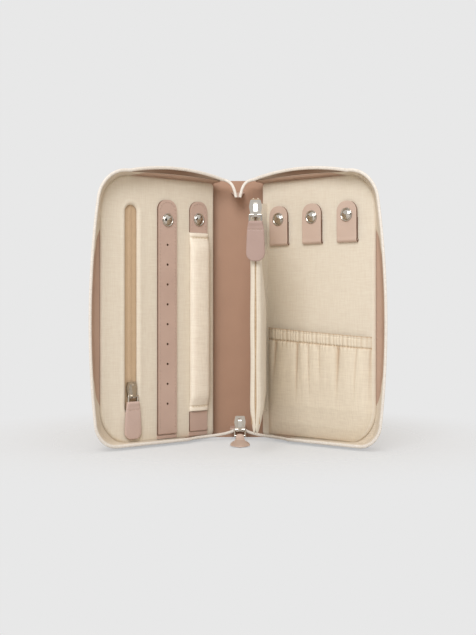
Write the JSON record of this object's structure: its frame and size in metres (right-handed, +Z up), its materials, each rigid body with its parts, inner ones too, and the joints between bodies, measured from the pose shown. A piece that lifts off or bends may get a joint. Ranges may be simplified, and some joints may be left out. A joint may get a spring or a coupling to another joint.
{
  "type": "jewellery case",
  "caption": "Zip-round leather travel jewellery case, open like a book, with an earring strap, ring roll, necklace hooks, a zipped slit pocket, a zipped middle pouch and a gathered pocket.",
  "frame": {"origin": "middle of the foot of the spine, on the surface the case stands on, between the two folds", "axes": "+X to the right half as seen from the open side, +Y towards the spine's outside (the viewer is on -Y), +Z up"},
  "size_m": [0.213, 0.1129, 0.2005],
  "materials": {
    "outer_leather": "fine grained dusty pink taupe leather",
    "lining": "cream suede-like cloth",
    "zip_tape": "woven taupe zip tape",
    "zip_coil": "taupe nylon coil",
    "metal": "polished nickel",
    "board": "grey board, under the leather",
    "foam": "foam pad under the lining",
    "elastic": "woven elastic"
  },
  "bodies": {
    "spine": {"spine_leather": "outer_leather", "spine_board": "board", "zip_end_top": "zip_tape", "zip_tongue_top": "outer_leather", "zip_end_bottom": "zip_tape", "zip_tongue_bottom": "outer_leather", "main_slider": "metal"},
    "main_pull": {"main_ring": "metal", "main_pull": "outer_leather"},
    "left_half": {"left_cover": "outer_leather", "left_cover_board": "board", "left_zip_tape": "zip_tape", "left_zip_coil": "zip_coil", "left_panel": "lining", "pocket_bag": "lining", "pocket_zip_tape": "zip_tape", "pocket_zip_coil": "zip_coil", "earring_strap_foot": "outer_leather", "earring_snap_stud": "metal", "ring_roll_foot": "outer_leather", "ring_roll_snap_stud": "metal"},
    "pocket_slider": {"pocket_slider": "metal"},
    "pocket_pull": {"pocket_ring": "metal", "pocket_pull": "outer_leather"},
    "earring_strap": {"earring_strap": "outer_leather", "earring_snap_cap": "metal"},
    "ring_roll": {"ring_roll": "lining", "ring_roll_bottom_tab": "outer_leather", "ring_roll_top_tab": "outer_leather", "ring_roll_snap_cap": "metal"},
    "right_half": {"right_cover": "outer_leather", "right_cover_board": "board", "right_zip_tape": "zip_tape", "right_zip_coil": "zip_coil", "right_panel": "lining", "right_panel_foam": "foam", "necklace_hook_1_back": "outer_leather", "necklace_hook_1_stud": "metal", "necklace_hook_2_back": "outer_leather", "necklace_hook_2_stud": "metal", "necklace_hook_3_back": "outer_leather", "necklace_hook_3_stud": "metal", "gathered_pocket": "lining", "gathered_pocket_hem": "lining", "gathered_pocket_elastic": "elastic", "page_hinge_strip": "outer_leather"},
    "page": {"page_pouch": "lining", "page_zip_tape": "zip_tape", "page_zip_coil": "zip_coil"},
    "page_slider": {"page_slider": "metal"},
    "page_pull": {"page_ring": "metal", "page_pull": "outer_leather"},
    "necklace_hook_1": {"necklace_hook_1": "outer_leather", "necklace_hook_1_cap": "metal"},
    "necklace_hook_2": {"necklace_hook_2": "outer_leather", "necklace_hook_2_cap": "metal"},
    "necklace_hook_3": {"necklace_hook_3": "outer_leather", "necklace_hook_3_cap": "metal"}
  },
  "joints": [
    {"name": "left_fold", "type": "hinge", "parent": "spine", "child": "left_half", "pos_m": [-0.023, 0, 0.1], "axis": [0, 0, -1], "range_deg": [-50, 40]},
    {"name": "right_fold", "type": "hinge", "parent": "spine", "child": "right_half", "pos_m": [0.023, 0, 0.1], "axis": [0, 0, 1], "range_deg": [-50, 40]},
    {"name": "page_swing", "type": "hinge", "parent": "right_half", "child": "page", "pos_m": [0.01486, -0.02215, 0.1], "axis": [0, 0, -1], "range_deg": [-52, 40]},
    {"name": "pocket_zip", "type": "slide", "parent": "left_half", "child": "pocket_slider", "axis": [0, 0, 1], "range_m": [0, 0.123]},
    {"name": "pocket_pull_swing", "type": "hinge", "parent": "pocket_slider", "child": "pocket_pull", "pos_m": [-0.07585, -0.06086, 0.037], "axis": [-0.766, -0.6428, 0], "range_deg": [0, 120]},
    {"name": "page_zip", "type": "slide", "parent": "page", "child": "page_slider", "axis": [0, 0, -1], "range_m": [0, 0.13]},
    {"name": "page_pull_swing", "type": "hinge", "parent": "page_slider", "child": "page_pull", "pos_m": [0.0118, -0.1097, 0.1636], "axis": [-0.9994, 0.0349, 0], "range_deg": [0, 120]},
    {"name": "earring_strap_swing", "type": "hinge", "parent": "left_half", "child": "earring_strap", "pos_m": [-0.05305, -0.0401, 0.008], "axis": [0.766, 0.6428, 0], "range_deg": [0, 25]},
    {"name": "ring_roll_swing", "type": "hinge", "parent": "left_half", "child": "ring_roll", "pos_m": [-0.03054, -0.02088, 0.008], "axis": [0.766, 0.6428, 0], "range_deg": [0, 14]},
    {"name": "necklace_hook_1_swing", "type": "hinge", "parent": "right_half", "child": "necklace_hook_1", "pos_m": [0.03092, -0.02401, 0.1502], "axis": [0.766, -0.6428, 0], "range_deg": [0, 22]},
    {"name": "necklace_hook_2_swing", "type": "hinge", "parent": "right_half", "child": "necklace_hook_2", "pos_m": [0.05467, -0.04394, 0.1502], "axis": [0.766, -0.6428, 0], "range_deg": [0, 75]},
    {"name": "necklace_hook_3_swing", "type": "hinge", "parent": "right_half", "child": "necklace_hook_3", "pos_m": [0.07842, -0.06386, 0.1502], "axis": [0.766, -0.6428, 0], "range_deg": [0, 75]},
    {"name": "main_pull_swing", "type": "hinge", "parent": "spine", "child": "main_pull", "pos_m": [0.0015, -0.02295, 0.0082], "axis": [-1, 0, 0], "range_deg": [0, 100]}
  ]
}
